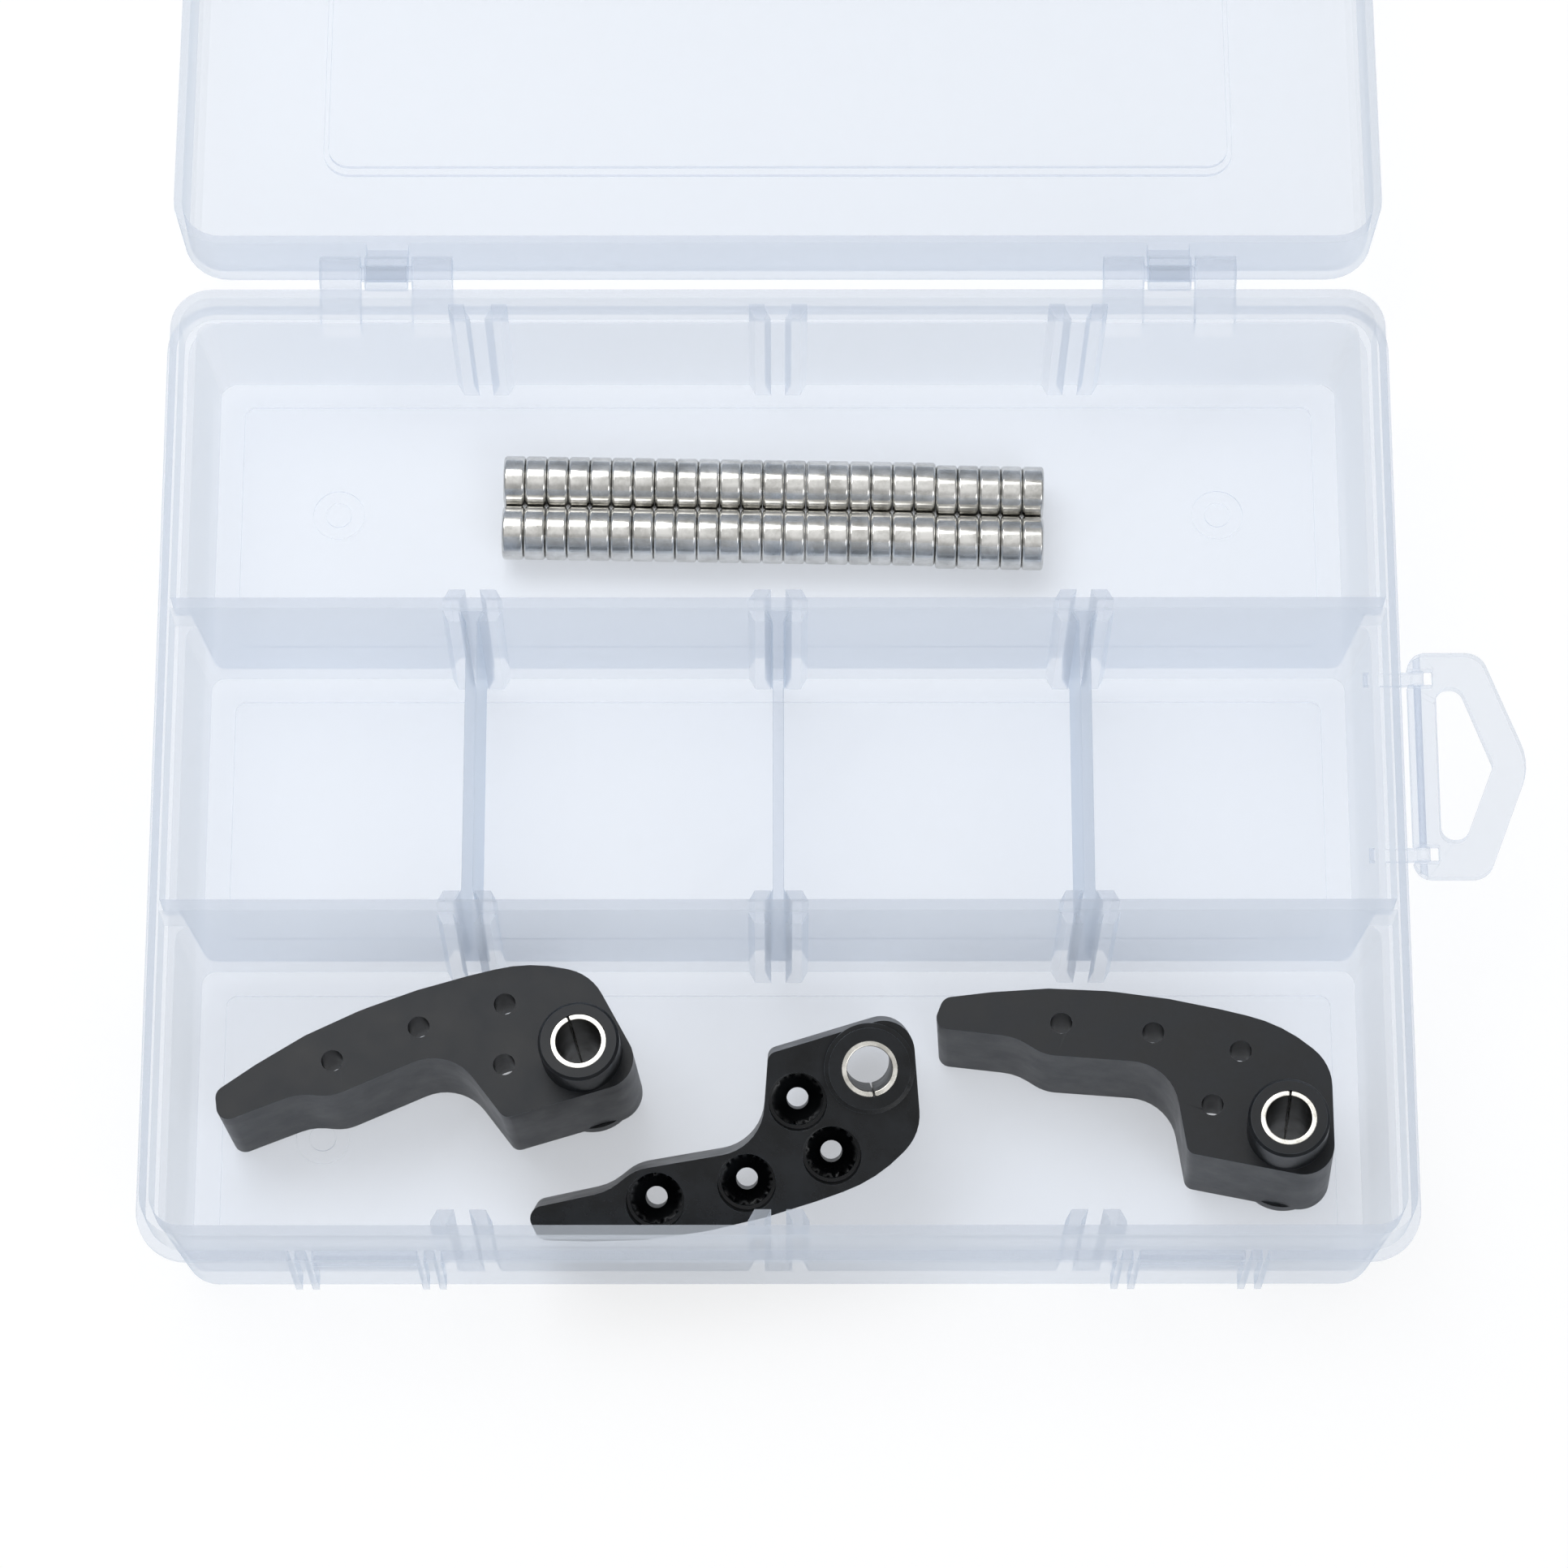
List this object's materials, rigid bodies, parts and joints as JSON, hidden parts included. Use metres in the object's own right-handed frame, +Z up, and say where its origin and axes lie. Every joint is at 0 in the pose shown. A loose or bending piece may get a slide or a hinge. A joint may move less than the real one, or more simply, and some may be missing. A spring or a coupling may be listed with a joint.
{
  "type": "compartment organiser case with contents",
  "caption": "Flat hinged compartment case in clear plastic with removable dividers, pivot arms with bushes and rows of disc magnets.",
  "frame": {"origin": "centre of the base's underside, on the table", "axes": "+X right, +Y towards the hinges and the opened lid, +Z up"},
  "size_m": [0.2469, 0.3925, 0.041],
  "materials": {
    "clear_polypropylene": "translucent moulded",
    "black_oxide_steel": "satin black oxide",
    "bush_steel": "machined",
    "nickel_plate": "bright nickel"
  },
  "bodies": {
    "base": {"case_base": "clear_polypropylene"},
    "lid": {"case_lid": "clear_polypropylene"},
    "latch_left": {"latch_left": "clear_polypropylene"},
    "latch_right": {"latch_right": "clear_polypropylene"},
    "tab": {"hang_tab": "clear_polypropylene"},
    "divider_left": {"divider_left": "clear_polypropylene"},
    "divider_middle": {"divider_middle": "clear_polypropylene"},
    "divider_right": {"divider_right": "clear_polypropylene"},
    "arm_left": {"arm_left": "black_oxide_steel", "bushing_left": "bush_steel"},
    "arm_middle": {"arm_middle": "black_oxide_steel", "bushing_middle": "bush_steel"},
    "arm_right": {"arm_right": "black_oxide_steel", "bushing_right": "bush_steel"},
    "magnet_row_back": {"magnets_back_1": "nickel_plate", "magnets_back_2": "nickel_plate", "magnets_back_3": "nickel_plate", "magnets_back_4": "nickel_plate", "magnets_back_5": "nickel_plate"},
    "magnet_row_front": {"magnets_front_1": "nickel_plate", "magnets_front_2": "nickel_plate", "magnets_front_3": "nickel_plate", "magnets_front_4": "nickel_plate", "magnets_front_5": "nickel_plate"}
  },
  "joints": [
    {"name": "lid_hinge", "type": "hinge", "parent": "base", "child": "lid", "pos_m": [0, 0.097, 0.0295], "axis": [1, 0, 0], "range_deg": [0, 183.53]},
    {"name": "latch_left_hinge", "type": "hinge", "parent": "lid", "child": "latch_left", "pos_m": [-0.0725, 0.28582, 0.01268], "axis": [1, 0, 0], "range_deg": [0, 70]},
    {"name": "latch_right_hinge", "type": "hinge", "parent": "lid", "child": "latch_right", "pos_m": [0.0725, 0.28582, 0.01268], "axis": [1, 0, 0], "range_deg": [0, 70]},
    {"name": "tab_fold", "type": "hinge", "parent": "base", "child": "tab", "pos_m": [0.1155, 0.001, 0.0282], "axis": [0, -1, 0], "range_deg": [0, 90]},
    {"name": "divider_left_lift", "type": "slide", "parent": "base", "child": "divider_left", "axis": [0, 0, 1], "range_m": [0, 0.06]},
    {"name": "divider_middle_lift", "type": "slide", "parent": "base", "child": "divider_middle", "axis": [0, 0, 1], "range_m": [0, 0.06]},
    {"name": "divider_right_lift", "type": "slide", "parent": "base", "child": "divider_right", "axis": [0, 0, 1], "range_m": [0, 0.06]},
    {"name": "arm_left_lift", "type": "slide", "parent": "base", "child": "arm_left", "axis": [0, 0, 1], "range_m": [0, 0.06]},
    {"name": "arm_middle_lift", "type": "slide", "parent": "base", "child": "arm_middle", "axis": [0, 0, 1], "range_m": [0, 0.06]},
    {"name": "arm_right_lift", "type": "slide", "parent": "base", "child": "arm_right", "axis": [0, 0, 1], "range_m": [0, 0.06]},
    {"name": "magnets_back_lift", "type": "slide", "parent": "base", "child": "magnet_row_back", "axis": [0, 0, 1], "range_m": [0, 0.06]},
    {"name": "magnets_front_lift", "type": "slide", "parent": "base", "child": "magnet_row_front", "axis": [0, 0, 1], "range_m": [0, 0.06]}
  ]
}
